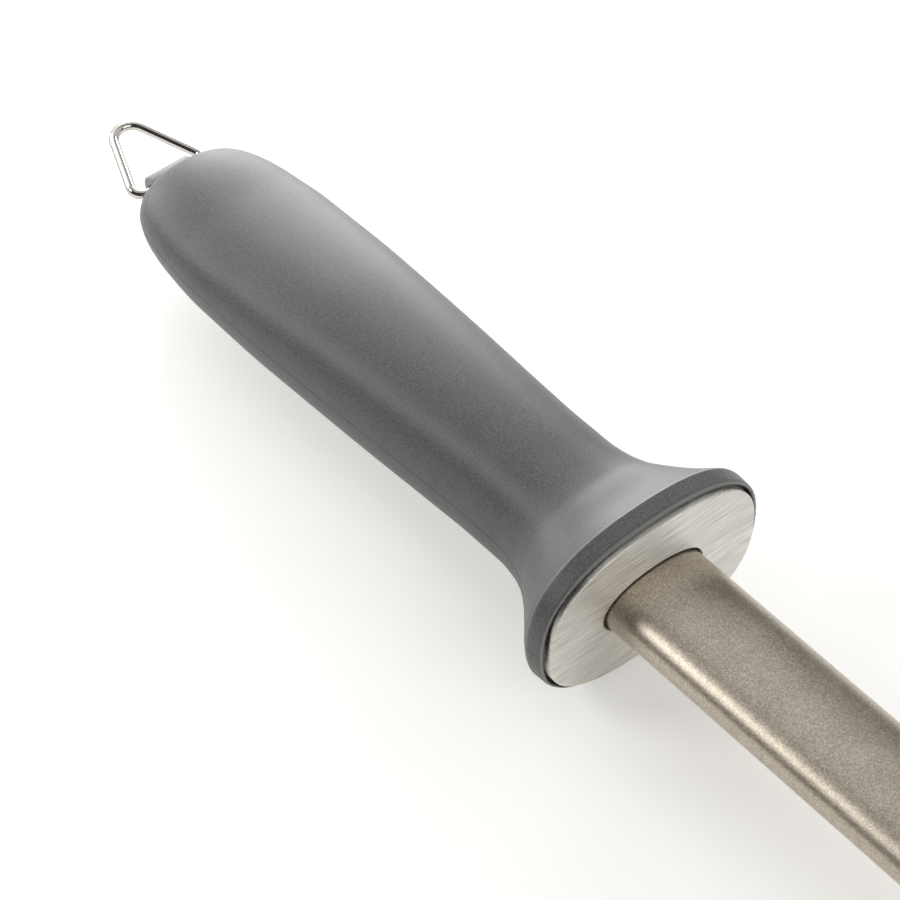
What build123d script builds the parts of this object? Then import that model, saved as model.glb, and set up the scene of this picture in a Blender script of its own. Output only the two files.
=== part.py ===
"""Flat-oval diamond sharpening steel with a soft-skinned handle and a swinging hanging ring.

Frame: +X runs along the blade towards its tip, +Y across its broad face, +Z up out of the broad face.
The origin is on the blade's axis, at the front face of the guard plate. Millimetres.
"""
from build123d import *
from math import cos, pi, radians, sin
import os

# ---- blade -------------------------------------------------------------------------------------
BLADE_LENGTH = 260.0            # guard plate to tip
BLADE_HALF_WIDTH = 11.1         # over the abrasive
BLADE_HALF_THICKNESS = 5.85
BLADE_EXPONENT = 2.17           # 2 is an ellipse, higher is squarer
ABRASIVE_THICKNESS = 0.15       # nickel bond with diamond grit
BARE_TIP = 5.0                  # the last of the bar carries no abrasive
TIP_ROUND = 2.0
SHOULDER_DEPTH = 14.0           # full bar section buried in the handle
TANG_WIDTH = 14.0
TANG_THICKNESS = 6.0
TANG_END = 112.0
TANG_CHAMFER = 2.0

# ---- guard plate, its gasket and the collar round the blade -------------------------------------
PLATE_HALF_WIDTH = 24.0
PLATE_HALF_HEIGHT = 16.2
PLATE_EXPONENT = 2.55
PLATE_THICKNESS = 2.0
PLATE_EDGE_ROUND = 0.25
SLOT_HALF_WIDTH = 11.6
SLOT_HALF_HEIGHT = 6.25
GASKET_THICKNESS = 0.6
GASKET_MARGIN = 0.35            # how far the gasket shows beyond the plate's edge
COLLAR_RECESS = 1.2             # behind the plate's front face
COLLAR_FLANGE = 2.5             # how far its flange reaches past the slot
COLLAR_FLANGE_THICKNESS = 2.4
STUD_RADIUS = 1.5
STUD_LENGTH = 8.0
STUD_SPACING = 34.0

# ---- handle ------------------------------------------------------------------------------------
SKIN_THICKNESS = 2.2
LIP_FRONT = -0.9                # front edge of the lip round the plate
LIP_CLEARANCE = 0.6             # gap between the plate's edge and the lip
RIM_HALF_WIDTH = 25.7
RIM_TOP = 18.5
RIM_BOTTOM = 17.8
RIM_DRAFT = 0.25
RIM_ROUND = 0.5
CREASE_X = -4.7                 # where the flare turns into the rim
# distance behind the plate, half width, height above and depth below the blade's axis
HANDLE_STATIONS = [
    (9.0, 21.9, 16.2, 15.5),
    (13.0, 18.7, 14.9, 14.0),
    (17.0, 16.2, 13.8, 12.8),
    (21.0, 14.8, 13.4, 12.2),
    (26.0, 14.2, 13.2, 11.8),
    (34.0, 14.2, 13.1, 12.0),
    (46.0, 14.7, 12.9, 12.4),
    (62.0, 15.6, 12.5, 12.7),
    (80.0, 16.4, 11.8, 12.9),
    (96.0, 16.9, 10.5, 13.1),
    (110.0, 16.9, 9.2, 12.8),
]
DOME_START = (118.0, 16.4, 8.6, 12.5)
DOME_END = (135.8, 15.1, 8.35, 11.0)
TURN_START = 100.0              # where the outline begins to turn in towards the butt
DOME_REACH_EXPONENT = 4.8       # how late it turns
DOME_SIZE_EXPONENT = 4.3        # and how blunt its end is
DOME_STEPS = 7
GUARD_EXPONENT = 2.38           # section squareness at the guard
BUTT_EXPONENT = 2.15            # and at the butt
SECTION_POINTS = 24
CREASE_STEP = 0.1               # the rim stands this much proud of the flare
FLANGE_STEP = 0.3               # the core's front flange stands this much proud of its body
CORE_FRONT = -(PLATE_THICKNESS + GASKET_THICKNESS)
CORE_END = 132.5
RIB_PITCH = 17.0
RIB_POCKETS = 4
RIB_FIRST = 32.0
POCKET_SIZE = (13.0, 3.0, 12.0)
POCKET_OFFSET = 9.6

# ---- pins through the core ----------------------------------------------------------------------
TANG_PIN_RADIUS = 2.0
TANG_PIN_LENGTH = 14.0
TANG_PIN_STATIONS = (28.0, 102.0)
HANGER_PIN_RADIUS = 1.25
HANGER_PIN_LENGTH = 10.0
HANGER_PIN_X = -127.0

# ---- hanger ------------------------------------------------------------------------------------
HINGE_X = -138.5
HINGE_Z = -2.3
BARREL_RADIUS = 2.8
BARREL_HALF_LENGTH = 4.9
STEM_WIDTH = 7.0
STEM_THICKNESS = 3.2
STEM_FRONT = -122.0
WIRE_RADIUS = 0.95
HINGE_CLEARANCE = 0.07
WIRE_END_GAP = 1.2              # each bent end of the wire stops this far from the middle
RING_HALF_BASE = 9.1            # to the corners before they are rounded
RING_HEIGHT = 22.9
RING_CORNER_RADIUS = 2.1
RING_APEX_RADIUS = 3.7
RING_REST_ANGLE = 6.5           # above the handle's line

HINGE = (HINGE_X, 0, HINGE_Z)


def across(x):
    """A plane square to the blade, facing the tip: its own x is +Y and its own y is +Z."""
    return Plane(origin=(x, 0, 0), x_dir=(0, 1, 0), z_dir=(1, 0, 0))


def oval(x, half_width, top, bottom, exponent):
    """The face |y/width|^n + |z/height|^n = 1 across the blade at x, with its own height above and below."""
    points = []
    for step in range(SECTION_POINTS):
        angle = 2 * pi * step / SECTION_POINTS
        y = abs(cos(angle)) ** (2 / exponent) * (half_width if cos(angle) > 0 else -half_width)
        z = abs(sin(angle)) ** (2 / exponent) * (top if sin(angle) > 0 else -bottom)
        points.append((y, z))
    with BuildSketch(across(x)) as section:
        with BuildLine():
            Spline(*points, periodic=True)
        make_face()
    return section.sketch


def prism(back, front, half_width, top, bottom, exponent, mode=Mode.ADD):
    """Extrude an oval from x = back to x = front."""
    extrude(oval(back, half_width, top, bottom, exponent), amount=front - back, mode=mode)


def plate_outline(back, front, margin, mode=Mode.ADD):
    """Extrude the guard plate's outline, grown by a margin."""
    height = PLATE_HALF_HEIGHT + margin
    prism(back, front, PLATE_HALF_WIDTH + margin, height, height, PLATE_EXPONENT, mode)


def slot(back, front, margin=0.0, mode=Mode.SUBTRACT):
    """Extrude the outline of the slot that the blade passes through, grown by a margin."""
    height = SLOT_HALF_HEIGHT + margin
    prism(back, front, SLOT_HALF_WIDTH + margin, height, height, BLADE_EXPONENT, mode)


def bar(back, front, margin=0.0, mode=Mode.ADD):
    """Extrude the steel bar's section, grown by a margin."""
    grown = margin - ABRASIVE_THICKNESS
    height = BLADE_HALF_THICKNESS + grown
    prism(back, front, BLADE_HALF_WIDTH + grown, height, height, BLADE_EXPONENT, mode)


def tang(mode=Mode.ADD):
    """The flat tang behind the bar's shoulder."""
    with Locations((-(SHOULDER_DEPTH + TANG_END) / 2, 0, 0)):
        Box(TANG_END - SHOULDER_DEPTH, TANG_WIDTH, TANG_THICKNESS, mode=mode)


def tang_pins(mode=Mode.ADD):
    """Cylinders through the tang, along Z."""
    with Locations(*[(-station, 0, 0) for station in TANG_PIN_STATIONS]):
        Cylinder(TANG_PIN_RADIUS, TANG_PIN_LENGTH, mode=mode)


def plate_studs(mode=Mode.ADD):
    """Two studs that reach back from the plate into the core."""
    middle = -PLATE_THICKNESS - STUD_LENGTH / 2
    with Locations(*[(middle, side * STUD_SPACING / 2, 0) for side in (-1, 1)]):
        Cylinder(STUD_RADIUS, STUD_LENGTH, rotation=(0, 90, 0), mode=mode)


def hanger_pin(mode=Mode.ADD):
    """The cross pin that anchors the hanger's stem, along Z."""
    with Locations((HANGER_PIN_X, 0, HINGE_Z)):
        Cylinder(HANGER_PIN_RADIUS, HANGER_PIN_LENGTH, mode=mode)


def stem(mode=Mode.ADD):
    """The flat stem of the hanger's eye, from its barrel into the core."""
    with Locations(((HINGE_X + STEM_FRONT) / 2, 0, HINGE_Z)):
        Box(STEM_FRONT - HINGE_X, STEM_WIDTH, STEM_THICKNESS, mode=mode)


def hinge_cylinder(radius, half_length, mode=Mode.ADD):
    """A cylinder on the ring's hinge axis."""
    with Locations(Location(HINGE, (90, 0, 0))):
        Cylinder(radius, 2 * half_length, mode=mode)


def squareness(distance):
    """The section's exponent eases from the guard to the butt."""
    share = min(distance / DOME_START[0], 1.0)
    return GUARD_EXPONENT + (BUTT_EXPONENT - GUARD_EXPONENT) * share


def turned_in(station):
    """A station with its sizes shrunk by (1 - s^a)^(1/b), which falls late and fast to the butt's end."""
    share = max(station[0] - TURN_START, 0) / (DOME_END[0] - TURN_START)
    shrink = (1 - share ** DOME_REACH_EXPONENT) ** (1 / DOME_SIZE_EXPONENT)
    return (station[0], *[size * shrink for size in station[1:]])


def dome_station(step):
    """A station between the dome's start and its end, closer together towards the end."""
    reach = sin(step / DOME_STEPS * pi / 2)
    return tuple(a + (b - a) * reach for a, b in zip(DOME_START, DOME_END))


def handle_body(inset, step, end):
    """Loft the handle's form, shrunk by an inset, from the rim's crease to a distance behind the plate."""
    crease = (-CREASE_X, RIM_HALF_WIDTH - step, RIM_TOP - step, RIM_BOTTOM - step)
    stations = [crease] + HANDLE_STATIONS + [DOME_START]
    stations += [dome_station(step) for step in range(1, DOME_STEPS)]
    stations = [turned_in(station) for station in stations if station[0] <= end]
    loft([oval(-distance, half_width - inset, top - inset, bottom - inset, squareness(distance)).face()
          for distance, half_width, top, bottom in stations])


def rim_section(x, shrink):
    """The rim's outline, drafted in a little towards its front."""
    return oval(x, RIM_HALF_WIDTH - shrink, RIM_TOP - shrink, RIM_BOTTOM - shrink, GUARD_EXPONENT).face()


def core_body():
    """The hard core before it is split: a flange behind the plate, then the handle's form less the skin."""
    handle_body(SKIN_THICKNESS, FLANGE_STEP, CORE_END)
    prism(CREASE_X, CORE_FRONT, RIM_HALF_WIDTH - SKIN_THICKNESS, RIM_TOP - SKIN_THICKNESS,
          RIM_BOTTOM - SKIN_THICKNESS, GUARD_EXPONENT)


def core_half(kept):
    """One half of the core: sockets for what it holds, then pockets that leave ribs between them."""
    core_body()
    bar(-SHOULDER_DEPTH, 0, 0, Mode.SUBTRACT)
    slot(CORE_FRONT - COLLAR_FLANGE_THICKNESS, 0, COLLAR_FLANGE)
    tang(Mode.SUBTRACT)
    tang_pins(Mode.SUBTRACT)
    plate_studs(Mode.SUBTRACT)
    stem(Mode.SUBTRACT)
    hanger_pin(Mode.SUBTRACT)
    places = [(-(RIB_FIRST + RIB_PITCH * (index + 0.5)), side * POCKET_OFFSET, 0)
              for index in range(RIB_POCKETS) for side in (-1, 1)]
    with Locations(*places):
        Box(*POCKET_SIZE, mode=Mode.SUBTRACT)
    split(bisect_by=Plane.XY, keep=kept)


def save(builder, name):
    """Label a finished piece and write it."""
    builder.part.label = name
    export_step(builder.part, f"parts/{name}.step")


os.makedirs("parts", exist_ok=True)

# Steel bar with its tang, drilled for the pins.
with BuildPart() as blade_bar:
    bar(-SHOULDER_DEPTH, BLADE_LENGTH)
    fillet(blade_bar.faces().sort_by(Axis.X)[-1].edges(), TIP_ROUND)
    tang()
    chamfer(blade_bar.faces().sort_by(Axis.X)[0].edges().filter_by(Axis.Z), TANG_CHAMFER)
    tang_pins(Mode.SUBTRACT)
save(blade_bar, "blade_bar")

# Bonded abrasive, a thin sleeve over the whole working length.
with BuildPart() as abrasive_layer:
    bar(CORE_FRONT, BLADE_LENGTH - BARE_TIP, ABRASIVE_THICKNESS)
    bar(CORE_FRONT, BLADE_LENGTH - BARE_TIP, 0, Mode.SUBTRACT)
save(abrasive_layer, "abrasive_layer")

# Stainless guard plate with its oval slot.
with BuildPart() as guard_plate:
    plate_outline(-PLATE_THICKNESS, 0, 0)
    slot(-PLATE_THICKNESS, 0)
    fillet(guard_plate.faces().sort_by(Axis.X)[-1].outer_wire().edges(), PLATE_EDGE_ROUND)
save(guard_plate, "guard_plate")

# Black gasket that the plate beds on; its margin shows in the gap round the plate.
with BuildPart() as plate_gasket:
    plate_outline(CORE_FRONT, -PLATE_THICKNESS, GASKET_MARGIN)
    slot(CORE_FRONT, -PLATE_THICKNESS)
    plate_studs(Mode.SUBTRACT)
save(plate_gasket, "plate_gasket")

# Black collar that centres the blade in the slot: a flange behind the gasket and a nose in the slot.
with BuildPart() as blade_collar:
    slot(CORE_FRONT - COLLAR_FLANGE_THICKNESS, CORE_FRONT, COLLAR_FLANGE, Mode.ADD)
    slot(CORE_FRONT, -COLLAR_RECESS, 0, Mode.ADD)
    bar(CORE_FRONT - COLLAR_FLANGE_THICKNESS, CORE_FRONT, 0, Mode.SUBTRACT)
    bar(CORE_FRONT, -COLLAR_RECESS, ABRASIVE_THICKNESS, Mode.SUBTRACT)
save(blade_collar, "blade_collar")

# Studs pressed into the core behind the plate.
with BuildPart() as stud_pair:
    plate_studs()
save(stud_pair, "plate_studs")

# Hard core in two halves that close on the tang.
with BuildPart() as core_upper:
    core_half(Keep.TOP)
save(core_upper, "core_upper")

with BuildPart() as core_lower:
    core_half(Keep.BOTTOM)
save(core_lower, "core_lower")

# Pins through both halves and the tang.
with BuildPart() as tang_pin_pair:
    tang_pins()
save(tang_pin_pair, "tang_pins")

# Soft skin: the rim, the lip round the plate, the grip and the domed butt, hollow for the core.
with BuildPart() as handle_skin:
    handle_body(0, CREASE_STEP, DOME_END[0])
    loft([rim_section(CREASE_X, 0), rim_section(LIP_FRONT, RIM_DRAFT)], ruled=True)
    fillet(handle_skin.faces().sort_by(Axis.X)[-1].edges(), RIM_ROUND)
    with BuildPart(mode=Mode.PRIVATE) as hollow:
        core_body()
    add(hollow.part, mode=Mode.SUBTRACT)
    plate_outline(CORE_FRONT, 0, LIP_CLEARANCE, Mode.SUBTRACT)
    stem(Mode.SUBTRACT)
save(handle_skin, "handle_skin")

# Eye at the butt: a barrel bored for the wire, on a stem with a hole for its anchor pin.
with BuildPart() as hanger_eye:
    hinge_cylinder(BARREL_RADIUS, BARREL_HALF_LENGTH)
    stem()
    hinge_cylinder(WIRE_RADIUS + HINGE_CLEARANCE, BARREL_HALF_LENGTH, Mode.SUBTRACT)
    hanger_pin(Mode.SUBTRACT)
save(hanger_eye, "hanger_eye")

with BuildPart() as anchor_pin:
    hanger_pin()
save(anchor_pin, "hanger_pin")

# Hanging ring: one bent wire, a rounded triangle whose two ends turn in to the barrel's bore.
tilt = radians(RING_REST_ANGLE)
ring_plane = Plane(origin=HINGE, x_dir=(-cos(tilt), 0, sin(tilt)), z_dir=(-sin(tilt), 0, -cos(tilt)))
with BuildPart() as hanger_ring:
    with BuildLine(ring_plane) as wire:
        FilletPolyline(
            (0, WIRE_END_GAP), (0, RING_HALF_BASE), (RING_HEIGHT, 0), (0, -RING_HALF_BASE), (0, -WIRE_END_GAP),
            radius=[RING_CORNER_RADIUS, RING_APEX_RADIUS, RING_CORNER_RADIUS])
    with BuildSketch(Plane(origin=wire.line @ 0, z_dir=wire.line % 0)):
        Circle(WIRE_RADIUS)
    sweep(path=wire.line)
save(hanger_ring, "hanger_ring")
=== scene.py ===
"""The looks of a flat-oval diamond sharpening steel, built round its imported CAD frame.

Axes: +X runs along the blade to its tip, +Y across its broad face, +Z up. The origin is on the blade's axis
at the front face of the guard plate. Each new piece is a surface worked out with numpy, in metres.
"""
import math

import bpy
import numpy as np
from bpy.props import FloatProperty, FloatVectorProperty, PointerProperty
from bpy.types import Operator, Panel, PropertyGroup
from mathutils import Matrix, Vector


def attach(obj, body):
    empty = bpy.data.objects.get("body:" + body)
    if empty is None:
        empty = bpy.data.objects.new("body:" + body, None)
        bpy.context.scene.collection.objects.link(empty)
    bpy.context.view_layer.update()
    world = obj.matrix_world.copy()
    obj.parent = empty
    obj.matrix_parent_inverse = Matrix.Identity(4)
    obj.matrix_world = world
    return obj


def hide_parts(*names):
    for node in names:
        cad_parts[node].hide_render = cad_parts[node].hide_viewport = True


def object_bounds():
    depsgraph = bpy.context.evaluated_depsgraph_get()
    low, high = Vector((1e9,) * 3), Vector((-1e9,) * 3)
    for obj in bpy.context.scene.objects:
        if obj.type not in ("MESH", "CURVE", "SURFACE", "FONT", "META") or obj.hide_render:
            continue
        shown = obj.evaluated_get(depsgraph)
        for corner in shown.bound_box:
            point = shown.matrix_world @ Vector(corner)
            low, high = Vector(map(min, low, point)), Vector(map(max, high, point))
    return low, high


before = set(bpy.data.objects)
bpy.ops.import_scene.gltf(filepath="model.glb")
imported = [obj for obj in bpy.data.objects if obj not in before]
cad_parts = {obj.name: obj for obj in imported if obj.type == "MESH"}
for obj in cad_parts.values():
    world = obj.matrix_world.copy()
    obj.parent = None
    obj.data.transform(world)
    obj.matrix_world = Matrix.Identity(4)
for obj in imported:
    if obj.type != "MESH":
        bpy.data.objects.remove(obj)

CAD_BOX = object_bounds()

bl_info = {
    "name": "Sharpening steel",
    "version": (1, 0, 0),
    "blender": (4, 5, 0),
    "location": "View3D > Sidebar > Steel",
    "description": "Builds a diamond sharpening steel with a soft grip, a guard plate and a hanging ring",
    "category": "Add Mesh",
}

MM = 0.001

# Distance behind the plate, half width, height above and depth below the blade's axis, in millimetres.
GRIP_STATIONS = (
    (4.7, 25.7, 18.4, 17.7),
    (9.0, 21.9, 16.2, 15.5),
    (13.0, 18.7, 14.9, 14.0),
    (17.0, 16.2, 13.8, 12.8),
    (21.0, 14.8, 13.4, 12.2),
    (26.0, 14.2, 13.2, 11.8),
    (34.0, 14.2, 13.1, 12.0),
    (46.0, 14.7, 12.9, 12.4),
    (62.0, 15.6, 12.5, 12.7),
    (80.0, 16.4, 11.8, 12.9),
    (96.0, 16.9, 10.5, 13.1),
    (110.0, 16.9, 9.2, 12.8),
    (118.0, 16.4, 8.6, 12.5),
    (135.8, 15.1, 8.35, 11.0),
)
BUTT_START = 100.0
SQUARE_END = 118.0
BUTT_REACH_EXPONENT = 4.8
BUTT_SIZE_EXPONENT = 4.3

# Spacing of the skin's sections along the handle, closest where the flare meets the rim.
BAND_STEP = 0.25 * MM
CREASE_STEP = 0.1 * MM
FLARE_STEP = 0.45 * MM
SHAFT_STEP = 1.1 * MM
CREASE_BEFORE = 1.0 * MM
CREASE_AFTER = 1.6 * MM
SHAFT_START = 30.0 * MM
HOLLOW_FLARE_START = 28.0 * MM
BUTT_SECTIONS = 90
SEAM_FADE = 4.0 * MM
CRISP_CREASE = 0.12             # softness of the crease above and below, in millimetres
SOFT_CREASE = 1.2               # and what is added to it at the sides
LIP_INNER_ROUND = 0.2 * MM
SEAT_STEP = 0.02 * MM           # two close sections keep an edge crisp
WALL_STEP = 0.01 * MM

# The bar's hidden end and its edges.
SHOULDER_X = -14.0 * MM
SHOULDER_INSET = 0.3 * MM
TANG_END_X = -112.0 * MM
TANG_HALF_WIDTH = 7.0 * MM
TANG_HALF_HEIGHT = 3.0 * MM
TANG_CHAMFER = 2.0 * MM
TANG_EXPONENT = 12.0
TIP_FLAT_INSET = 3.5 * MM
SLEEVE_EDGE = 0.1 * MM
SLEEVE_BACK_INSET = 0.02 * MM
SLEEVE_TIP_INSET = 0.03 * MM
SLEEVE_SECTIONS = 60
BAR_SECTIONS = 12

SLOT_ROUND = 0.12 * MM
PLATE_BACK_STEP = 0.05 * MM

BARREL_ROUND = 0.35 * MM
BORE_CHAMFER = 0.2 * MM
STEM_OVERLAP = 0.3 * MM
STEM_CHAMFER = 0.4 * MM
STEM_EXPONENT = 9.0
WIRE_STEP = 0.5 * MM

# Painted highlight: the paler colour of the bands on the grip's crease and the lip's front.
EDGE_HIGHLIGHT_COLOUR = (0.20, 0.20, 0.195)
NICK_COLOUR = (0.34, 0.34, 0.34)
SPARKLE_COLOUR = (0.68, 0.62, 0.53)
CORE_COLOUR = (0.10, 0.10, 0.105)
PIN_COLOUR = (0.58, 0.58, 0.58)
FLOOR_COLOUR = (0.75, 0.745, 0.73)
FLOOR_GLOW = 0.42
WORLD_STRENGTH = 0.05
LIGHT_AIM_X = -65.0 * MM


# ---- settings ------------------------------------------------------------------------------------

def length(name, description, millimetres):
    """A length property with its default in metres."""
    return FloatProperty(name=name, description=description, default=millimetres * MM, min=0.0,
                         precision=5, unit="LENGTH")


def signed(name, description, millimetres):
    """A coordinate property, which may be negative."""
    return FloatProperty(name=name, description=description, default=millimetres * MM, precision=5,
                         unit="LENGTH")


def colour(name, description, red, green, blue):
    """A linear colour property."""
    return FloatVectorProperty(name=name, description=description, default=(red, green, blue), size=3,
                               min=0.0, max=1.0, subtype="COLOR")


def factor(name, description, value, top=1.0):
    """A plain number from 0 to its top."""
    return FloatProperty(name=name, description=description, default=value, min=0.0, max=top)


class BladeSettings(PropertyGroup):
    length: length("Length", "Guard plate to tip", 260.0)
    half_width: length("Half width", "Half the blade's width over the abrasive", 11.1)
    half_thickness: length("Half thickness", "Half the blade's thickness over the abrasive", 5.85)
    exponent: factor("Squareness", "Exponent of the oval section, 2 for an ellipse", 2.17, 6.0)
    coat: length("Abrasive thickness", "Thickness of the abrasive sleeve", 0.15)
    bare_tip: length("Bare tip", "Length of the tip that carries no abrasive", 5.0)
    tip_round: length("Tip rounding", "Radius round the edge of the tip", 2.0)
    grit_colour: colour("Grit", "Colour of the nickel bond and diamond", 0.485, 0.432, 0.360)
    steel_colour: colour("Bar steel", "Colour of the bare bar", 0.60, 0.58, 0.55)


class GuardSettings(PropertyGroup):
    half_width: length("Half width", "Half the plate's width", 24.0)
    half_height: length("Half height", "Half the plate's height", 16.2)
    exponent: factor("Squareness", "Exponent of the plate's outline", 2.55, 6.0)
    thickness: length("Thickness", "Thickness of the plate", 2.0)
    slot_half_width: length("Slot half width", "Half the slot's width", 11.6)
    slot_half_height: length("Slot half height", "Half the slot's height", 6.25)
    edge: length("Edge rounding", "Radius round the plate's front edge", 0.25)
    steel_colour: colour("Plate steel", "Colour of the brushed plate", 0.76, 0.74, 0.695)
    seal_colour: colour("Seal", "Colour of the gasket and the collar", 0.012, 0.012, 0.012)


class GripSettings(PropertyGroup):
    rim_half_width: length("Rim half width", "Half the rim's width", 25.7)
    rim_top: length("Rim top", "Height of the rim above the blade's axis", 18.5)
    rim_bottom: length("Rim bottom", "Depth of the rim below the blade's axis", 17.8)
    rim_draft: length("Rim draft", "How far the rim leans in towards its front", 0.25)
    lip_front: length("Lip set-back", "How far the lip stays behind the plate's face", 0.9)
    lip_gap: length("Lip gap", "Gap between the lip and the plate's edge", 0.6)
    lip_round: length("Lip rounding", "Radius on the outside of the lip", 0.5)
    crease: length("Crease", "Distance behind the plate where the flare meets the rim", 4.7)
    seat: length("Seat", "Depth of the recess that holds the plate and its gasket", 2.6)
    skin: length("Skin", "Thickness of the soft skin over the core", 2.2)
    guard_exponent: factor("Guard squareness", "Exponent of the section at the guard", 2.38, 6.0)
    butt_exponent: factor("Butt squareness", "Exponent of the section at the butt", 2.15, 6.0)
    hollow_end: length("Hollow end", "Depth of the hollow that holds the core", 131.9)
    seam_height: length("Seam height", "Height of the moulding seam", 0.09)
    seam_width: length("Seam width", "Half width of the moulding seam", 0.10)
    # Place and width of the painted highlight along the grip's crease and the lip's front.
    lip_highlight_x: signed("Lip highlight", "Middle of the painted highlight band at the lip's front", -0.95)
    highlight_width: length("Highlight width", "How far the painted highlight band reaches from an edge", 0.30)
    colour: colour("Grip", "Colour of the soft skin", 0.092, 0.094, 0.093)


class HangerSettings(PropertyGroup):
    hinge_x: signed("Hinge X", "Place of the hinge along the handle", -138.5)
    hinge_z: signed("Hinge Z", "Height of the hinge", -2.3)
    barrel_radius: length("Barrel radius", "Radius of the eye's barrel", 2.8)
    barrel_half_length: length("Barrel half length", "Half the length of the eye's barrel", 4.9)
    bore_radius: length("Bore radius", "Radius of the bore that the wire turns in", 1.02)
    wire_radius: length("Wire radius", "Radius of the ring's wire", 0.95)
    half_base: length("Half base", "Half the ring's base before its corners are rounded", 9.1)
    height: length("Height", "Hinge to apex before the apex is rounded", 22.9)
    corner_radius: length("Corner radius", "Radius of the two base corners", 2.1)
    apex_radius: length("Apex radius", "Radius of the apex", 3.7)
    end_gap: length("End gap", "Distance of each wire end from the middle of the bore", 1.2)
    rest_angle: FloatProperty(name="Rest angle", description="Lift of the ring above the handle's line",
                              default=math.radians(6.5), subtype="ANGLE")
    stem_half_width: length("Stem half width", "Half the width of the eye's stem", 3.5)
    stem_half_height: length("Stem half height", "Half the thickness of the eye's stem", 1.6)
    stem_front: signed("Stem front", "Where the stem ends in the core", -122.0)
    eye_colour: colour("Eye", "Colour of the moulded eye", 0.27, 0.27, 0.262)
    wire_edge: colour("Wire edge", "Tint of the plated wire seen at a slant", 0.10, 0.085, 0.065)
    wire_colour: colour("Wire", "Colour of the plated wire", 0.60, 0.575, 0.535)


class StageSettings(PropertyGroup):
    aim: FloatVectorProperty(name="Aim", description="Point that the camera looks at",
                             default=(-0.04282, -0.01017, 0.0071), subtype="TRANSLATION")
    azimuth: FloatProperty(name="Azimuth", description="Camera's turn round the steel, 0 along +Y",
                           default=math.radians(49.85), subtype="ANGLE")
    elevation: FloatProperty(name="Elevation", description="Camera's height angle",
                             default=math.radians(47.76), subtype="ANGLE")
    distance: FloatProperty(name="Distance", description="Camera to aim", default=0.62, unit="LENGTH")
    lens: FloatProperty(name="Lens", description="Focal length in millimetres", default=140.0)
    floor_half_size: FloatProperty(name="Floor", description="Half the floor's side", default=3.0,
                                   unit="LENGTH")


# ---- surfaces --------------------------------------------------------------------------------------

def oval(angles, half_width, top, bottom, exponent):
    """Points of |y / width|^n + |z / height|^n = 1, with its own height above and below the axis.

    y = width * sign(cos a) * |cos a|^(2/n) and z = height * sign(sin a) * |sin a|^(2/n), where every size
    may be a column of values, one for each section.
    """
    c, s = np.cos(angles), np.sin(angles)
    power = 2.0 / exponent
    y = half_width * np.sign(c) * np.abs(c) ** power
    z = np.where(s > 0.0, top, bottom) * np.sign(s) * np.abs(s) ** power
    return y, z


def circle_angles(count):
    """Even angles once round, without the repeated last one."""
    return np.arange(count) * (2.0 * math.pi / count)


def seam_angles(count):
    """Angles once round, even except for a cluster of finer steps at 0 and at half a turn."""
    near = np.array([0.0012, 0.0028, 0.0055, 0.011, 0.022])
    even = np.linspace(0.045, math.pi - 0.045, count)
    half = np.concatenate([[0.0], near, even, math.pi - near[::-1]])
    return np.concatenate([half, half + math.pi])


def stack(x, y, z):
    """One (rows, columns, 3) array from three arrays that broadcast together."""
    x, y, z = np.broadcast_arrays(x, y, z)
    return np.stack([x, y, z], axis=-1)


def cells(rows, columns, first=0, wrap_rows=False):
    """Quads of a grid whose columns close on themselves, and whose rows do too where asked."""
    r = np.arange(rows if wrap_rows else rows - 1)[:, None]
    c = np.arange(columns)[None, :]
    here, right = r * columns + c, r * columns + (c + 1) % columns
    up = ((r + 1) % rows) * columns
    return (np.stack([here, right, up + (c + 1) % columns, up + c], axis=-1) + first).reshape(-1, 4)


def tube_mesh(name, grids, wrap=False, flip=False):
    """A mesh of one or more grids of sections. An open grid is closed at each end by a fan to its middle."""
    points, quads, fans, first = [], [], [], 0
    for grid in grids:
        rows, columns = grid.shape[:2]
        points.append(grid.reshape(-1, 3))
        quads.append(cells(rows, columns, first, wrap))
        count = rows * columns
        if not wrap:
            points.append(np.stack([grid[0].mean(axis=0), grid[-1].mean(axis=0)]))
            c = np.arange(columns)
            start, end = first + count, first + count + 1
            last = first + count - columns
            fans.append(np.stack([first + (c + 1) % columns, first + c, np.full(columns, start)], axis=-1))
            fans.append(np.stack([last + c, last + (c + 1) % columns, np.full(columns, end)], axis=-1))
            count += 2
        first += count
    faces = np.concatenate(quads).tolist()
    if fans:
        faces += np.concatenate(fans).tolist()
    if flip:
        faces = [face[::-1] for face in faces]
    mesh = bpy.data.meshes.new(name)
    mesh.from_pydata(np.concatenate(points).tolist(), [], faces)
    mesh.polygons.foreach_set("use_smooth", np.ones(len(mesh.polygons), dtype=bool))
    mesh.update()
    return mesh


def flat_map(mesh, name):
    """A flat map with Z first and Y second, so that tangents stand square to lines along Y."""
    points = np.empty(3 * len(mesh.vertices))
    mesh.vertices.foreach_get("co", points)
    corners = np.empty(len(mesh.loops), dtype=np.int32)
    mesh.loops.foreach_get("vertex_index", corners)
    flat = points.reshape(-1, 3)[corners][:, [2, 1]] / (50.0 * MM) + 0.5
    mesh.uv_layers.new(name=name).data.foreach_set("uv", flat.ravel())


def add_piece(name, mesh, body, material, stands_for=()):
    """Link a finished mesh, dress it, and let it ride on its CAD body."""
    piece = bpy.data.objects.new(name, mesh)
    bpy.context.scene.collection.objects.link(piece)
    mesh.materials.append(material)
    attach(piece, body)
    if stands_for:
        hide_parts(*stands_for)
    return piece


def bevel_arc(radius, steps):
    """(set-back along the wall, set-in from the edge) round a quarter circle, wall first."""
    turn = np.linspace(0.0, math.pi / 2.0, steps)
    return radius * (1.0 - np.sin(turn)), radius * (1.0 - np.cos(turn))


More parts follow.
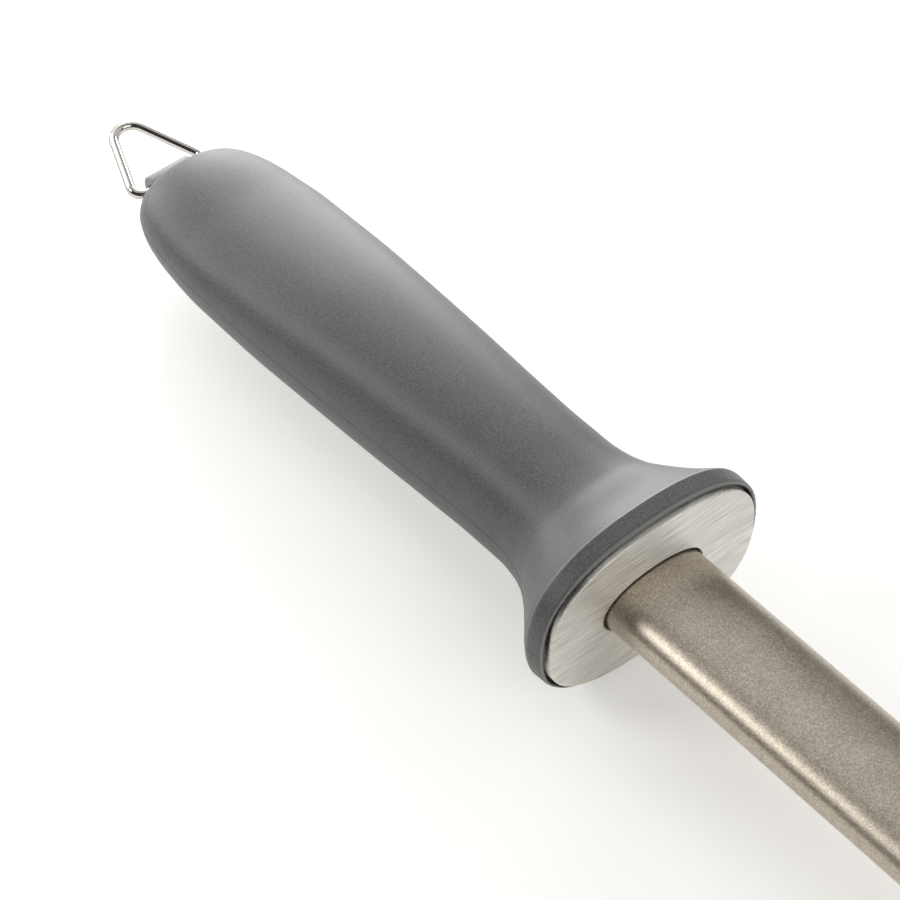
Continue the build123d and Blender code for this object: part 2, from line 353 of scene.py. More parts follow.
def hermite(stations, x):
    """Monotone cubic through the stations: slopes are the harmonic mean of the two secants beside a
    point where they agree in sign, and zero where they don't."""
    xs = stations[:, 0]
    values = stations[:, 1:]
    step = np.diff(xs)[:, None]
    secant = np.diff(values, axis=0) / step
    same = secant[:-1] * secant[1:] > 0.0
    safe = np.where(same, secant[:-1] + secant[1:], 1.0)
    inner = np.where(same, 2.0 * secant[:-1] * secant[1:] / safe, 0.0)
    slope = np.vstack([secant[:1], inner, secant[-1:]])
    i = np.clip(np.searchsorted(xs, x) - 1, 0, len(xs) - 2)
    t = ((x - xs[i]) / step[i, 0])[:, None]
    h = step[i]
    low, high = values[i], values[i + 1]
    return ((1 + 2 * t) * (1 - t) ** 2 * low + t * (1 - t) ** 2 * h * slope[i]
            + t * t * (3 - 2 * t) * high + t * t * (t - 1) * h * slope[i + 1])


def soft_min(a, b, softness):
    """The smaller of two surfaces, with the crease between them rounded over the given softness."""
    overlap = np.maximum(softness - np.abs(a - b), 0.0) / softness
    return np.minimum(a, b) - 0.25 * softness * overlap ** 2


def grip_sizes(distance):
    """Half width, height and depth at distances behind the plate, in metres: a monotone cubic through the
    stations, times (1 - s^a)^(1/b) along the butt, which falls late and fast to nothing."""
    stations = np.array(GRIP_STATIONS) * MM
    front, end = stations[0, 0], stations[-1, 0]
    body = hermite(stations, np.clip(distance, front, end))
    lead = (hermite(stations, stations[:1, 0] + 0.5 * MM) - stations[:1, 1:]) / (0.5 * MM)
    body = body + np.minimum(distance - front, 0.0)[:, None] * lead
    start = BUTT_START * MM
    share = np.clip((distance - start) / (end - start), 0.0, 1.0)[:, None]
    return body * (1.0 - share ** BUTT_REACH_EXPONENT) ** (1.0 / BUTT_SIZE_EXPONENT)


def squareness(distance, settings):
    """The section's exponent eases from the guard's to the butt's over the length of the grip."""
    grip = settings.steel_grip
    share = np.clip(distance / (SQUARE_END * MM), 0.0, 1.0)
    return grip.guard_exponent + (grip.butt_exponent - grip.guard_exponent) * share


def grip_outside(angles, settings):
    """The skin's outside, row by row from the lip to the end of the butt.

    The flare and the rim's drafted band are two surfaces, and the skin is the soft minimum of the two, crisp
    above and below and soft at the sides. A raised seam, exp(-(z / w)^2) high, runs round the mid-plane.
    """
    grip = settings.steel_grip
    set_back, set_in = bevel_arc(grip.lip_round, 9)
    front = grip.lip_front
    lip = front + set_back[::-1]
    band = np.arange(front + grip.lip_round + BAND_STEP, grip.crease - CREASE_BEFORE, BAND_STEP)
    crease = np.arange(grip.crease - CREASE_BEFORE, grip.crease + CREASE_AFTER, CREASE_STEP)
    flare = np.arange(grip.crease + CREASE_AFTER, SHAFT_START, FLARE_STEP)
    shaft = np.arange(SHAFT_START, BUTT_START * MM, SHAFT_STEP)
    turn = np.linspace(0.0, 1.0, BUTT_SECTIONS)[:-1]
    butt = (BUTT_START + (GRIP_STATIONS[-1][0] - BUTT_START) * (1.0 - (1.0 - turn) ** 3)) * MM
    distance = np.concatenate([lip, band, crease, flare, shaft, butt])
    inset = np.concatenate([set_in[::-1], np.zeros(len(distance) - len(lip))])[:, None]
    flare_sizes = grip_sizes(distance)
    lean = np.clip((grip.crease - distance) / (grip.crease - front), -4.0, 1.0)[:, None]
    rim = np.array([[grip.rim_half_width, grip.rim_top, grip.rim_bottom]])
    rim_sizes = rim - grip.rim_draft * lean - inset
    softness = (CRISP_CREASE + SOFT_CREASE * np.abs(np.cos(angles)) ** 6) * MM
    reach = [soft_min(flare_sizes[:, k:k + 1], rim_sizes[:, k:k + 1], softness[None, :]) for k in range(3)]
    exponent = squareness(distance, settings)[:, None]
    y, z = oval(angles[None, :], reach[0], reach[1], reach[2], exponent)
    fade = np.clip((GRIP_STATIONS[-1][0] * MM - distance) / SEAM_FADE, 0.0, 1.0)[:, None]
    y = y + np.sign(y) * grip.seam_height * np.exp(-(z / grip.seam_width) ** 2) * fade
    return -distance[:, None], y, z


def grip_inside(angles, settings):
    """The skin's inside from the bottom of the hollow to the lip: the core's form, a flat seat and a wall."""
    grip, guard = settings.steel_grip, settings.steel_guard
    distance = np.concatenate([np.linspace(grip.hollow_end, SHAFT_START, 30),
                               np.linspace(HOLLOW_FLARE_START, grip.crease, 14)])
    sizes = grip_sizes(distance) - grip.skin
    seat = np.array([[grip.rim_half_width, grip.rim_top, grip.rim_bottom]]) - grip.skin
    wall = np.array([[guard.half_width, guard.half_height, guard.half_height]]) + grip.lip_gap
    set_back, set_in = bevel_arc(LIP_INNER_ROUND, 5)
    wall_depth = np.concatenate([[grip.seat, grip.seat - WALL_STEP], grip.lip_front + set_back])
    wall_sizes = wall + np.concatenate([[0.0, 0.0], set_in])[:, None]
    depth = np.concatenate([distance, [grip.seat + SEAT_STEP, grip.seat], wall_depth])
    sizes = np.concatenate([sizes, seat, seat + SEAT_STEP, wall_sizes])
    exponent = squareness(depth, settings)[:, None]
    exponent[len(distance) + 2:] = guard.exponent
    y, z = oval(angles[None, :], sizes[:, 0:1], sizes[:, 1:2], sizes[:, 2:3], exponent)
    return -depth[:, None], y, z


def ring_path(settings, step):
    """The wire's centre line in the ring's own plane (out, across) with its direction.

    Straight sides joined by arcs that are tangent to both, from one end in the bore round to the other.
    """
    hanger = settings.steel_hanger
    corners = np.array([(0.0, hanger.end_gap), (0.0, hanger.half_base), (hanger.height, 0.0),
                        (0.0, -hanger.half_base), (0.0, -hanger.end_gap)])
    radii = (hanger.corner_radius, hanger.apex_radius, hanger.corner_radius)
    points, directions, start = [], [], corners[0]
    for corner, before, after, radius in zip(corners[1:-1], corners[:-2], corners[2:], radii):
        arrive = (corner - before) / np.linalg.norm(corner - before)
        leave = (after - corner) / np.linalg.norm(after - corner)
        turn = math.acos(float(np.clip(arrive @ leave, -1.0, 1.0)))
        cut = radius * math.tan(turn / 2.0)
        run_end = corner - arrive * cut
        count = max(2, int(np.linalg.norm(run_end - start) / step))
        share = np.linspace(0.0, 1.0, count, endpoint=False)[:, None]
        points.append(start + (run_end - start) * share)
        directions.append(np.repeat(arrive[None], count, axis=0))
        normal = (leave - arrive * math.cos(turn)) / math.sin(turn)
        angle = np.linspace(0.0, turn, 20, endpoint=False)[:, None]
        points.append(run_end + normal * radius + radius * (arrive * np.sin(angle) - normal * np.cos(angle)))
        directions.append(arrive * np.cos(angle) + normal * np.sin(angle))
        start = corner + leave * cut
    share = np.linspace(0.0, 1.0, 12)[:, None]
    points.append(start + (corners[-1] - start) * share)
    directions.append(np.repeat(leave[None], 12, axis=0))
    return np.concatenate(points), np.concatenate(directions)


# ---- shader node groups ------------------------------------------------------------------------------

class Nodes:
    """Short calls that add and link nodes in one tree."""

    def __init__(self, tree):
        self.tree = tree

    def add(self, kind, inputs=None, **settings):
        """Add a node with its settings, and set or link its inputs."""
        node = self.tree.nodes.new(kind)
        for key, value in settings.items():
            setattr(node, key, value)
        for key, value in (inputs or {}).items():
            self.feed(node.inputs[key], value)
        return node

    def feed(self, socket, value):
        """Link an output to an input, or give the input a constant."""
        if isinstance(value, bpy.types.NodeSocket):
            self.tree.links.new(value, socket)
        else:
            socket.default_value = value

    def math(self, operation, first, second=0.0):
        """One arithmetic step."""
        node = self.add("ShaderNodeMath", operation=operation)
        self.feed(node.inputs[0], first)
        self.feed(node.inputs[1], second)
        return node.outputs[0]

    def scaled(self, vector, scale):
        """A vector times another, axis by axis."""
        return self.add("ShaderNodeVectorMath", {0: vector, 1: scale}, operation="MULTIPLY").outputs[0]

    def noise(self, vector, scale, detail=2.0, roughness=0.5):
        """Fractal noise, which lies mostly between 0.3 and 0.7."""
        return self.add("ShaderNodeTexNoise", {"Vector": vector, "Scale": scale, "Detail": detail,
                                               "Roughness": roughness}).outputs["Fac"]

    def remap(self, value, low, high, to_low=0.0, to_high=1.0):
        """A value moved from one range to another, and held inside it."""
        return self.add("ShaderNodeMapRange", {"Value": value, "From Min": low, "From Max": high,
                                               "To Min": to_low, "To Max": to_high}).outputs[0]

    def mix(self, share, first, second):
        """A blend of two colours."""
        node = self.add("ShaderNodeMix", data_type="RGBA")
        self.feed(node.inputs[0], share)
        self.feed(node.inputs[6], first)
        self.feed(node.inputs[7], second)
        return node.outputs[2]

    def shade(self, colour_value, amount):
        """A colour made lighter or darker by a factor near one."""
        node = self.add("ShaderNodeVectorMath", operation="SCALE")
        self.feed(node.inputs[0], colour_value)
        self.feed(node.inputs["Scale"], amount)
        return node.outputs[0]


def new_group(name, inputs, outputs):
    """A node group with named sockets, and the Nodes helper, input node and output node to fill it."""
    tree = bpy.data.node_groups.new(name, "ShaderNodeTree")
    for label, kind, default in inputs:
        socket = tree.interface.new_socket(label, in_out="INPUT", socket_type=kind)
        if default is not None:
            socket.default_value = default
    for label, kind in outputs:
        tree.interface.new_socket(label, in_out="OUTPUT", socket_type=kind)
    nodes = Nodes(tree)
    return nodes, nodes.add("NodeGroupInput"), nodes.add("NodeGroupOutput")


def speckle_group():
    """Fine speckle of a filled moulding: two noises multiplied about one, and the finer one as height."""
    nodes, source, sink = new_group(
        "Speckle", [("Vector", "NodeSocketVector", None), ("Grain size", "NodeSocketFloat", 3800.0),
                    ("Contrast", "NodeSocketFloat", 0.12), ("Mottle", "NodeSocketFloat", 0.03)],
        [("Shade", "NodeSocketFloat"), ("Height", "NodeSocketFloat")])
    fine = nodes.noise(source.outputs["Vector"], source.outputs["Grain size"], 1.0, 0.6)
    broad = nodes.noise(source.outputs["Vector"], 160.0, 2.0, 0.5)
    fine_part = nodes.math("MULTIPLY", nodes.remap(fine, 0.3, 0.7, -1.0, 1.0), source.outputs["Contrast"])
    broad_part = nodes.math("MULTIPLY", nodes.remap(broad, 0.3, 0.7, -1.0, 1.0), source.outputs["Mottle"])
    shade = nodes.math("ADD", 1.0, nodes.math("ADD", fine_part, broad_part))
    nodes.feed(sink.inputs["Shade"], shade)
    nodes.feed(sink.inputs["Height"], fine)
    return nodes.tree


def nick_group():
    """Small light nicks: the middles of a few far-apart cells, drawn out along a slanting direction."""
    nodes, source, sink = new_group(
        "Nicks", [("Vector", "NodeSocketVector", None), ("Spacing", "NodeSocketFloat", 130.0),
                  ("Size", "NodeSocketFloat", 0.03), ("Share kept", "NodeSocketFloat", 0.2)],
        [("Mask", "NodeSocketFloat")])
    turned = nodes.add("ShaderNodeMapping", {"Vector": source.outputs["Vector"],
                                             "Rotation": (0.4, 0.9, 0.5), "Scale": (1.0, 0.35, 1.0)})
    cell = nodes.add("ShaderNodeTexVoronoi", {"Vector": turned.outputs[0],
                                              "Scale": source.outputs["Spacing"]})
    split = nodes.add("ShaderNodeSeparateColor", {"Color": cell.outputs["Color"]})
    chosen = nodes.math("LESS_THAN", split.outputs[0], source.outputs["Share kept"])
    close = nodes.math("LESS_THAN", cell.outputs["Distance"], source.outputs["Size"])
    nodes.feed(sink.inputs["Mask"], nodes.math("MULTIPLY", chosen, close))
    return nodes.tree


def brush_group():
    """Straight brush lines: noise drawn out along one axis by squeezing the coordinates along it."""
    nodes, source, sink = new_group(
        "Brush lines", [("Vector", "NodeSocketVector", None),
                        ("Stretch", "NodeSocketVector", (1.0, 1.0, 1.0)),
                        ("Fine", "NodeSocketFloat", 3500.0), ("Broad", "NodeSocketFloat", 700.0)],
        [("Line", "NodeSocketFloat"), ("Band", "NodeSocketFloat")])
    drawn = nodes.scaled(source.outputs["Vector"], source.outputs["Stretch"])
    nodes.feed(sink.inputs["Line"], nodes.noise(drawn, source.outputs["Fine"], 3.0, 0.65))
    nodes.feed(sink.inputs["Band"], nodes.noise(drawn, source.outputs["Broad"], 2.0, 0.6))
    return nodes.tree


def grit_group():
    """Bonded grit: cells of one grain each, with their own brightness and a domed height."""
    nodes, source, sink = new_group(
        "Grit", [("Vector", "NodeSocketVector", None), ("Grain size", "NodeSocketFloat", 5600.0)],
        [("Grain", "NodeSocketFloat"), ("Sparkle", "NodeSocketFloat"), ("Height", "NodeSocketFloat")])
    cell = nodes.add("ShaderNodeTexVoronoi", {"Vector": source.outputs["Vector"],
                                              "Scale": source.outputs["Grain size"]})
    split = nodes.add("ShaderNodeSeparateColor", {"Color": cell.outputs["Color"]})
    nodes.feed(sink.inputs["Grain"], split.outputs[0])
    nodes.feed(sink.inputs["Sparkle"], nodes.math("GREATER_THAN", split.outputs[1], 0.955))
    nodes.feed(sink.inputs["Height"], nodes.math("SUBTRACT", 1.0, cell.outputs["Distance"]))
    return nodes.tree


GROUP_MAKERS = {"Speckle": speckle_group, "Nicks": nick_group, "Brush lines": brush_group, "Grit": grit_group}


def effect(nodes, name, **inputs):
    """Place a shared node group, making it the first time, and set or link its inputs."""
    tree = bpy.data.node_groups.get(name) or GROUP_MAKERS[name]()
    node = nodes.add("ShaderNodeGroup", node_tree=tree)
    for key, value in inputs.items():
        nodes.feed(node.inputs[key.replace("_", " ").capitalize()], value)
    return node.outputs


def new_material(name, **constants):
    """A material with its Principled shader, whose constants are set on the shader's own sockets."""
    material = bpy.data.materials.new(name)
    material.use_nodes = True
    nodes = Nodes(material.node_tree)
    shader = material.node_tree.nodes["Principled BSDF"]
    for key, value in constants.items():
        shader.inputs[key.replace("_", " ")].default_value = value
    place = nodes.add("ShaderNodeTexCoord").outputs["Object"]
    return material, nodes, shader, place


def bump(nodes, shader, height, distance, strength=1.0):
    """Feed a height to the shader's normal as a bump of the given depth in metres."""
    node = nodes.add("ShaderNodeBump", {"Height": height, "Distance": distance, "Strength": strength})
    nodes.feed(shader.inputs["Normal"], node.outputs[0])


def opaque(rgb):
    """A colour with its alpha."""
    return (*rgb, 1.0)


def soft_grip_material(settings):
    """Soft-touch skin: grey with fine speckle, a few light nicks, a dry sheen and painted highlight on two
    edges.

    The edges are the crease where the flare meets the rim, and the lip's front; the paler band on each is a
    painted highlight, and fades out linearly along X.
    """
    material, nodes, shader, place = new_material("Soft grip", IOR=1.5, Specular_IOR_Level=0.5)
    speckle = effect(nodes, "Speckle", vector=place, contrast=0.42, mottle=0.03)
    along = nodes.add("ShaderNodeSeparateXYZ", {"Vector": place}).outputs["X"]
    grip = settings.steel_grip
    # Painted highlight: paler bands at the crease and the lip's front stand in for light caught by those
    # edges.
    edge_highlight = 0.0
    for edge in (-grip.crease, grip.lip_highlight_x):
        away = nodes.math("ABSOLUTE", nodes.math("SUBTRACT", along, edge))
        edge_highlight = nodes.math("MAXIMUM", edge_highlight, nodes.remap(away, 0.0, grip.highlight_width, 1.0, 0.0))
    nicks = effect(nodes, "Nicks", vector=place)
    grey = nodes.shade(grip.colour, speckle["Shade"])
    highlighted = nodes.mix(edge_highlight, grey, opaque(EDGE_HIGHLIGHT_COLOUR))
    nodes.feed(shader.inputs["Base Color"], nodes.mix(nicks["Mask"], highlighted, opaque(NICK_COLOUR)))
    nodes.feed(shader.inputs["Roughness"], nodes.remap(speckle["Height"], 0.3, 0.7, 0.40, 0.52))
    bump(nodes, shader, speckle["Height"], 0.016 * MM)
    return material


def plate_material(settings):
    """Straight-brushed stainless, with its lines along Y."""
    material, nodes, shader, place = new_material("Brushed plate", Metallic=1.0, Anisotropic=0.85)
    tangent = nodes.add("ShaderNodeTangent", direction_type="UV_MAP", uv_map="brushing")
    nodes.feed(shader.inputs["Tangent"], tangent.outputs[0])
    lines = effect(nodes, "Brush lines", vector=place, stretch=(1.0, 0.03, 1.0))
    tone = nodes.math("ADD", nodes.remap(lines["Line"], 0.3, 0.7, -0.26, 0.26),
                      nodes.remap(lines["Band"], 0.3, 0.7, 0.90, 1.05))
    nodes.feed(shader.inputs["Base Color"], nodes.shade(settings.steel_guard.steel_colour, tone))
    nodes.feed(shader.inputs["Roughness"], nodes.remap(lines["Line"], 0.3, 0.7, 0.42, 0.56))
    bump(nodes, shader, lines["Line"], 0.006 * MM)
    return material


def grit_material(settings):
    """Diamond grit in matt nickel: warm grey grains with a few sparkles."""
    material, nodes, shader, place = new_material("Diamond grit", Metallic=1.0)
    grit = effect(nodes, "Grit", vector=place)
    speckle = effect(nodes, "Speckle", vector=place, grain_size=2200.0, contrast=0.10, mottle=0.05)
    tone = nodes.math("MULTIPLY", speckle["Shade"], nodes.remap(grit["Grain"], 0.0, 1.0, 0.74, 1.22))
    base = nodes.shade(settings.steel_blade.grit_colour, tone)
    nodes.feed(shader.inputs["Base Color"], nodes.mix(grit["Sparkle"], base, opaque(SPARKLE_COLOUR)))
    nodes.feed(shader.inputs["Roughness"], nodes.remap(grit["Grain"], 0.0, 1.0, 0.30, 0.42))
    bump(nodes, shader, grit["Height"], 0.012 * MM, 0.8)
    return material


def metal_material(name, rgb, low, high, stretch, depth=0.003, **constants):
    """Ground or drawn metal, with faint lines along the squeezed axis."""
    material, nodes, shader, place = new_material(name, Metallic=1.0, **constants)
    lines = effect(nodes, "Brush lines", vector=place, stretch=stretch)
    tone = nodes.remap(lines["Line"], 0.3, 0.7, 0.93, 1.05)
    nodes.feed(shader.inputs["Base Color"], nodes.shade(tuple(rgb), tone))
    nodes.feed(shader.inputs["Roughness"], nodes.remap(lines["Band"], 0.3, 0.7, low, high))
    bump(nodes, shader, lines["Line"], depth * MM)
    return material


def moulded_material(name, rgb, low, high, contrast=0.08):
    """Plain moulded plastic or rubber with a fine eroded texture."""
    material, nodes, shader, place = new_material(name, IOR=1.48)
    speckle = effect(nodes, "Speckle", vector=place, contrast=contrast, mottle=0.04)
    nodes.feed(shader.inputs["Base Color"], nodes.shade(tuple(rgb), speckle["Shade"]))
    nodes.feed(shader.inputs["Roughness"], nodes.remap(speckle["Height"], 0.3, 0.7, low, high))
    bump(nodes, shader, speckle["Height"], 0.01 * MM)
    return material


def dress(material, *nodes):
    """Give carried-over CAD nodes a finished material."""
    for name in nodes:
        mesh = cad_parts[name].data
        mesh.materials.clear()
        mesh.materials.append(material)


# ---- operators ---------------------------------------------------------------------------------------

class STEEL_OT_blade(Operator):
    """Build the abrasive sleeve and the bar inside it"""
    bl_idname = "steel.blade"
    bl_label = "Blade"

    def execute(self, context):
        scene = context.scene
        blade, grip = scene.steel_blade, scene.steel_grip
        angles = circle_angles(160)
        inner_width, inner_height = blade.half_width - blade.coat, blade.half_thickness - blade.coat
        end = blade.length - blade.bare_tip
        wall = np.linspace(-grip.seat + SLEEVE_EDGE, end - SLEEVE_EDGE, SLEEVE_SECTIONS)
        x = np.concatenate([[-grip.seat], wall, [end], [end], [-grip.seat]])
        inset = np.concatenate([[SLEEVE_BACK_INSET], np.zeros(SLEEVE_SECTIONS), [SLEEVE_TIP_INSET],
                                [blade.coat, blade.coat]])[:, None]
        y, z = oval(angles[None, :], blade.half_width - inset, blade.half_thickness - inset,
                    blade.half_thickness - inset, blade.exponent)
        sleeve = tube_mesh("abrasive_sleeve", [stack(x[:, None], y, z)], wrap=True)
        add_piece("abrasive_sleeve", sleeve, "steel", grit_material(scene),
                  ["abrasive_layer"])

        set_back, set_in = bevel_arc(blade.tip_round, 12)
        wall = np.linspace(SHOULDER_X, blade.length - blade.tip_round, BAR_SECTIONS)
        x = np.concatenate([[SHOULDER_X], wall, blade.length - set_back[1:], [blade.length]])
        inset = np.concatenate([[SHOULDER_INSET], np.zeros(BAR_SECTIONS), set_in[1:],
                                [TIP_FLAT_INSET]])[:, None]
        y, z = oval(angles[None, :], inner_width - inset, inner_height - inset, inner_height - inset,
                    blade.exponent)
        bar = stack(x[:, None], y, z)
        tang_x = np.array([TANG_END_X, TANG_END_X + TANG_CHAMFER, SHOULDER_X])
        tang_inset = np.array([TANG_CHAMFER, 0.0, 0.0])[:, None]
        y, z = oval(circle_angles(64)[None, :], TANG_HALF_WIDTH - tang_inset, TANG_HALF_HEIGHT,
                    TANG_HALF_HEIGHT, TANG_EXPONENT)
        tang = stack(tang_x[:, None], y, z)
        mesh = tube_mesh("bar_and_tang", [bar, tang])
        steel = metal_material("Ground bar", blade.steel_colour, 0.26, 0.38, (1.0, 0.06, 1.0))
        add_piece("bar_and_tang", mesh, "steel", steel, ["blade_bar"])
        return {"FINISHED"}


class STEEL_OT_guard(Operator):
    """Build the brushed guard plate and finish its gasket and collar"""
    bl_idname = "steel.guard"
    bl_label = "Guard plate"

    def execute(self, context):
        scene = context.scene
        guard, blade = scene.steel_guard, scene.steel_blade
        angles = circle_angles(240)
        slot_y, slot_z = oval(angles, guard.slot_half_width, guard.slot_half_height, guard.slot_half_height,
                              blade.exponent)
        rim_y, rim_z = oval(angles, guard.half_width, guard.half_height, guard.half_height, guard.exponent)
        reach = np.hypot(rim_y, rim_z) - np.hypot(slot_y, slot_z)
        outer_back, outer_in = bevel_arc(guard.edge, 6)
        inner_back, inner_in = bevel_arc(SLOT_ROUND, 5)
        back = -guard.thickness
        # share of the way from slot to rim, then a distance added to it, then x: once round the section
        face = np.linspace(0.06, 0.94, 9)
        level = np.zeros(len(face))
        share = np.concatenate([[0.0, 0.0], np.zeros(5), face, np.ones(6), [1.0, 1.0, 0.5]])
        shift = np.concatenate([[PLATE_BACK_STEP, 0.0], inner_in, level, -outer_in[::-1],
                                [0.0, -PLATE_BACK_STEP, 0.0]])
        x = np.concatenate([[back, back + PLATE_BACK_STEP], -inner_back, level, -outer_back[::-1],
                            [back + PLATE_BACK_STEP, back, back]])
        share = share[:, None] + shift[:, None] / reach[None, :]
        y = slot_y + (rim_y - slot_y) * share
        z = slot_z + (rim_z - slot_z) * share
        mesh = tube_mesh("brushed_plate", [stack(x[:, None], y, z)], wrap=True)
        flat_map(mesh, "brushing")
        add_piece("brushed_plate", mesh, "steel", plate_material(scene), ["guard_plate"])
        dress(moulded_material("Black seal", guard.seal_colour, 0.55, 0.7), "plate_gasket")
        dress(moulded_material("Black collar", guard.seal_colour, 0.4, 0.55), "blade_collar")
        return {"FINISHED"}


class STEEL_OT_grip(Operator):
    """Build the soft skin of the handle, hollow for its core"""
    bl_idname = "steel.grip"
    bl_label = "Soft grip"

    def execute(self, context):
        scene = context.scene
        angles = seam_angles(110)
        outside = stack(*grip_outside(angles, scene))
        inside = stack(*grip_inside(angles, scene))
        mesh = tube_mesh("grip_skin", [np.concatenate([inside, outside])], flip=True)
        add_piece("grip_skin", mesh, "steel", soft_grip_material(scene), ["handle_skin"])
        return {"FINISHED"}


class STEEL_OT_eye(Operator):
    """Build the moulded eye that carries the ring: a bored barrel on a flat stem"""
    bl_idname = "steel.eye"
    bl_label = "Hanger eye"

    def execute(self, context):
        scene = context.scene
        hanger = scene.steel_hanger
        angles = circle_angles(72)
        set_back, set_in = bevel_arc(BARREL_ROUND, 6)
        half = hanger.barrel_half_length
        ends = np.concatenate([half - set_back, [half, half - BORE_CHAMFER]])
        radii = np.concatenate([hanger.barrel_radius - set_in,
                                [hanger.bore_radius + BORE_CHAMFER, hanger.bore_radius]])
        across = np.concatenate([ends, -ends[::-1]])[:, None]
        radius = np.concatenate([radii, radii[::-1]])[:, None]
        barrel = stack(hanger.hinge_x + radius * np.cos(angles), across,
                       hanger.hinge_z + radius * np.sin(angles))
        stem_x = np.array([hanger.hinge_x + hanger.barrel_radius - STEM_OVERLAP,
                           hanger.stem_front - STEM_CHAMFER, hanger.stem_front])
        inset = np.array([0.0, 0.0, STEM_CHAMFER])[:, None]
        y, z = oval(circle_angles(48)[None, :], hanger.stem_half_width - inset,
                    hanger.stem_half_height - inset, hanger.stem_half_height - inset, STEM_EXPONENT)
        mesh = tube_mesh("ring_eye", [barrel], wrap=True)
        add_piece("eye_stem", tube_mesh("eye_stem", [stack(stem_x[:, None], y, z + hanger.hinge_z)]), "steel",
                  moulded_material("Moulded stem", hanger.eye_colour, 0.38, 0.5))
        add_piece("ring_eye", mesh, "steel",
                  moulded_material("Moulded eye", hanger.eye_colour, 0.38, 0.5), ["hanger_eye"])
        return {"FINISHED"}


class STEEL_OT_ring(Operator):
    """Build the bent wire ring"""
    bl_idname = "steel.ring"
    bl_label = "Hanging ring"

    def execute(self, context):
        scene = context.scene
        hanger = scene.steel_hanger
        path, direction = ring_path(scene, WIRE_STEP)
        out = np.array([-math.cos(hanger.rest_angle), 0.0, math.sin(hanger.rest_angle)])
        across = np.array([0.0, 1.0, 0.0])
        upright = np.cross(out, across)
        hinge = np.array([hanger.hinge_x, 0.0, hanger.hinge_z])
        centre = hinge + path[:, :1] * out + path[:, 1:] * across
        sideways = -direction[:, 1:] * out + direction[:, :1] * across
        angles = circle_angles(28)[None, :, None]
        round_wire = np.cos(angles) * sideways[:, None] + np.sin(angles) * upright
        grid = centre[:, None] + hanger.wire_radius * round_wire
        mesh = tube_mesh("wire_ring", [grid])
        chrome = metal_material("Plated wire", hanger.wire_colour, 0.06, 0.12, (1.0, 1.0, 1.0), 0.001,
                                Specular_Tint=opaque(hanger.wire_edge))
        add_piece("wire_ring", mesh, "ring", chrome, ["hanger_ring"])
        return {"FINISHED"}


class STEEL_OT_inside(Operator):
    """Finish the pieces inside the handle"""
    bl_idname = "steel.inside"
    bl_label = "Inner pieces"

    def execute(self, context):
        dress(moulded_material("Core plastic", CORE_COLOUR, 0.4, 0.55), "core_upper", "core_lower")
        pin = metal_material("Turned pin", PIN_COLOUR, 0.25, 0.38, (1.0, 1.0, 0.05))
        dress(pin, "tang_pins", "plate_studs", "hanger_pin")
        return {"FINISHED"}


# Name, turn from +X towards +Y and height angle in degrees, distance and size in metres, power in watts,
# tint.
LIGHTS = (
    ("Back wall", 170.0, 25.0, 2.0, 2.0, 19.0, (0.97, 0.99, 1.0)),
    ("Back glow", 140.0, 15.0, 0.30, 0.20, 0.72, (0.97, 0.99, 1.0)),
    ("Butt glow", 195.0, 17.0, 0.30, 0.15, 0.27, (0.97, 0.99, 1.0)),
    ("Side strip", 231.0, 35.0, 1.5, 0.52, 6.4, (1.0, 0.99, 0.97)),
    ("Front box", 5.0, 30.0, 2.0, 1.6, 14.5, (1.0, 0.99, 0.97)),
    ("Far box", 75.0, 30.0, 2.0, 2.2, 11.0, (1.0, 0.99, 0.97)),
    ("Top box", 150.0, 75.0, 2.0, 1.8, 6.8, (0.98, 0.99, 1.0)),
)


def soft_light(name, azimuth, elevation, distance, size, power, tint):
    """A square area light that faces the middle of the grip from an angle."""
    data = bpy.data.lights.new(name, "AREA")
    data.energy, data.size, data.color = power, size, tint
    light = bpy.data.objects.new(name, data)
    bpy.context.scene.collection.objects.link(light)
    turn, height = math.radians(azimuth), math.radians(elevation)
    out = Vector((math.cos(turn) * math.cos(height), math.sin(turn) * math.cos(height), math.sin(height)))
    light.location = Vector((LIGHT_AIM_X, 0.0, 0.0)) + out * distance
    light.rotation_euler = out.to_track_quat("Z", "Y").to_euler()


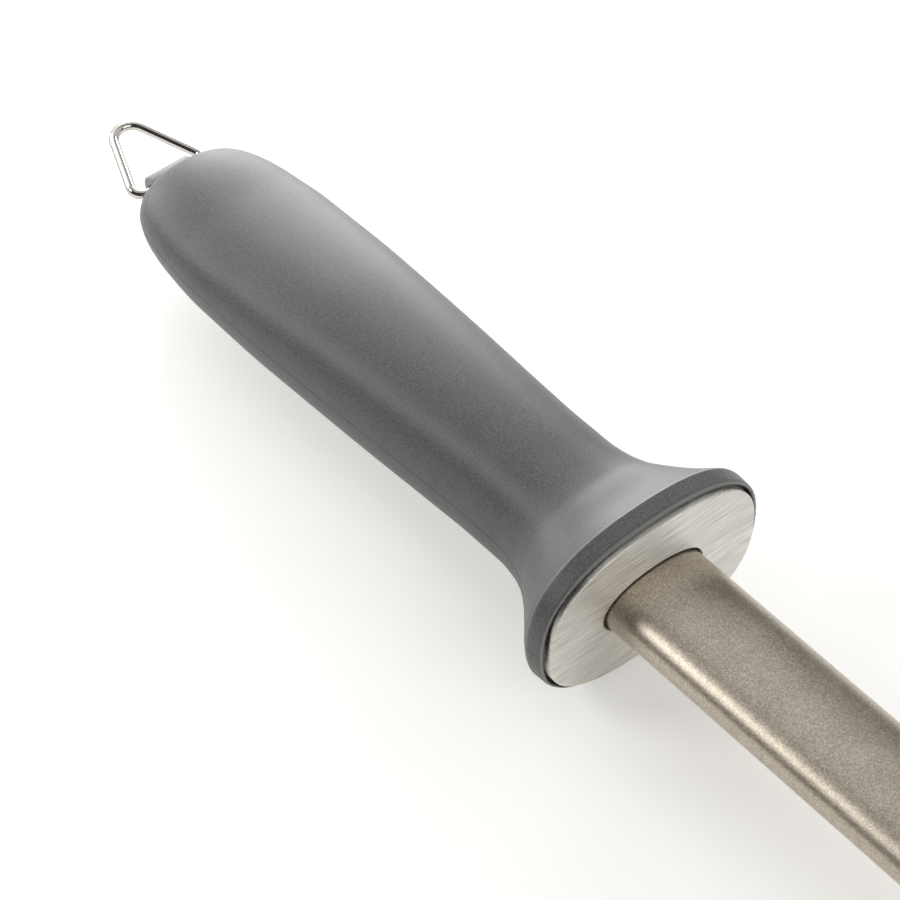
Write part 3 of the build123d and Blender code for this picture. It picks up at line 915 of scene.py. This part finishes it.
class STEEL_OT_stage(Operator):
    """Set up the floor, the light and the camera"""
    bl_idname = "steel.stage"
    bl_label = "Stage"

    def execute(self, context):
        scene = context.scene
        stage = scene.steel_stage
        half = stage.floor_half_size
        low = CAD_BOX[0][2]
        mesh = bpy.data.meshes.new("floor")
        mesh.from_pydata([(-half, -half, low), (half, -half, low), (half, half, low), (-half, half, low)], [],
                         [(0, 1, 2, 3)])
        floor = bpy.data.objects.new("floor", mesh)
        scene.collection.objects.link(floor)
        material, nodes, shader, place = new_material("Pale floor", Roughness=0.9, Specular_IOR_Level=0.1,
                                                      Emission_Color=(1.0, 0.99, 0.97, 1.0),
                                                      Emission_Strength=FLOOR_GLOW)
        paper = nodes.remap(nodes.noise(place, 30.0, 3.0), 0.3, 0.7, 0.985, 1.0)
        nodes.feed(shader.inputs["Base Color"], nodes.shade(FLOOR_COLOUR, paper))
        mesh.materials.append(material)

        world = bpy.data.worlds.new("Studio")
        world.use_nodes = True
        scene.world = world
        background = world.node_tree.nodes["Background"]
        background.inputs["Color"].default_value = (1.0, 1.0, 1.0, 1.0)
        background.inputs["Strength"].default_value = WORLD_STRENGTH
        for light in LIGHTS:
            soft_light(*light)
        scene.view_settings.view_transform = "Standard"

        data = bpy.data.cameras.new("Camera")
        data.lens, data.sensor_width = stage.lens, 36.0
        data.clip_start, data.clip_end = 0.01, 20.0
        camera = bpy.data.objects.new("Camera", data)
        scene.collection.objects.link(camera)
        aim = Vector(stage.aim)
        toward = Vector((math.sin(stage.azimuth) * math.cos(stage.elevation),
                         -math.cos(stage.azimuth) * math.cos(stage.elevation), math.sin(stage.elevation)))
        camera.location = aim + toward * stage.distance
        camera.rotation_euler = (-toward).to_track_quat("-Z", "Y").to_euler()
        scene.camera = camera
        return {"FINISHED"}


class STEEL_PT_panel(Panel):
    """The steel's pieces, in the order in which they are built"""
    bl_idname = "STEEL_PT_panel"
    bl_label = "Sharpening steel"
    bl_space_type = "VIEW_3D"
    bl_region_type = "UI"
    bl_category = "Steel"

    def draw(self, context):
        for operator in OPERATORS:
            self.layout.operator(operator.bl_idname)
        for name in SETTINGS:
            group = getattr(context.scene, name)
            box = self.layout.box()
            for key in group.__annotations__:
                box.prop(group, key)


SETTINGS = {
    "steel_blade": BladeSettings,
    "steel_guard": GuardSettings,
    "steel_grip": GripSettings,
    "steel_hanger": HangerSettings,
    "steel_stage": StageSettings,
}
OPERATORS = (STEEL_OT_blade, STEEL_OT_guard, STEEL_OT_grip, STEEL_OT_eye, STEEL_OT_ring, STEEL_OT_inside,
             STEEL_OT_stage)


def register():
    """Register every class and hang the settings on the scene."""
    for cls in (*SETTINGS.values(), *OPERATORS, STEEL_PT_panel):
        bpy.utils.register_class(cls)
    for name, group in SETTINGS.items():
        setattr(bpy.types.Scene, name, PointerProperty(type=group))


def unregister():
    """Take everything that register added away again."""
    for name in SETTINGS:
        delattr(bpy.types.Scene, name)
    for cls in reversed((*SETTINGS.values(), *OPERATORS, STEEL_PT_panel)):
        bpy.utils.unregister_class(cls)


def main():
    """Build every piece in order."""
    register()
    for operator in OPERATORS:
        group, name = operator.bl_idname.split(".")
        getattr(getattr(bpy.ops, group), name)()


if __name__ == "__main__":
    main()
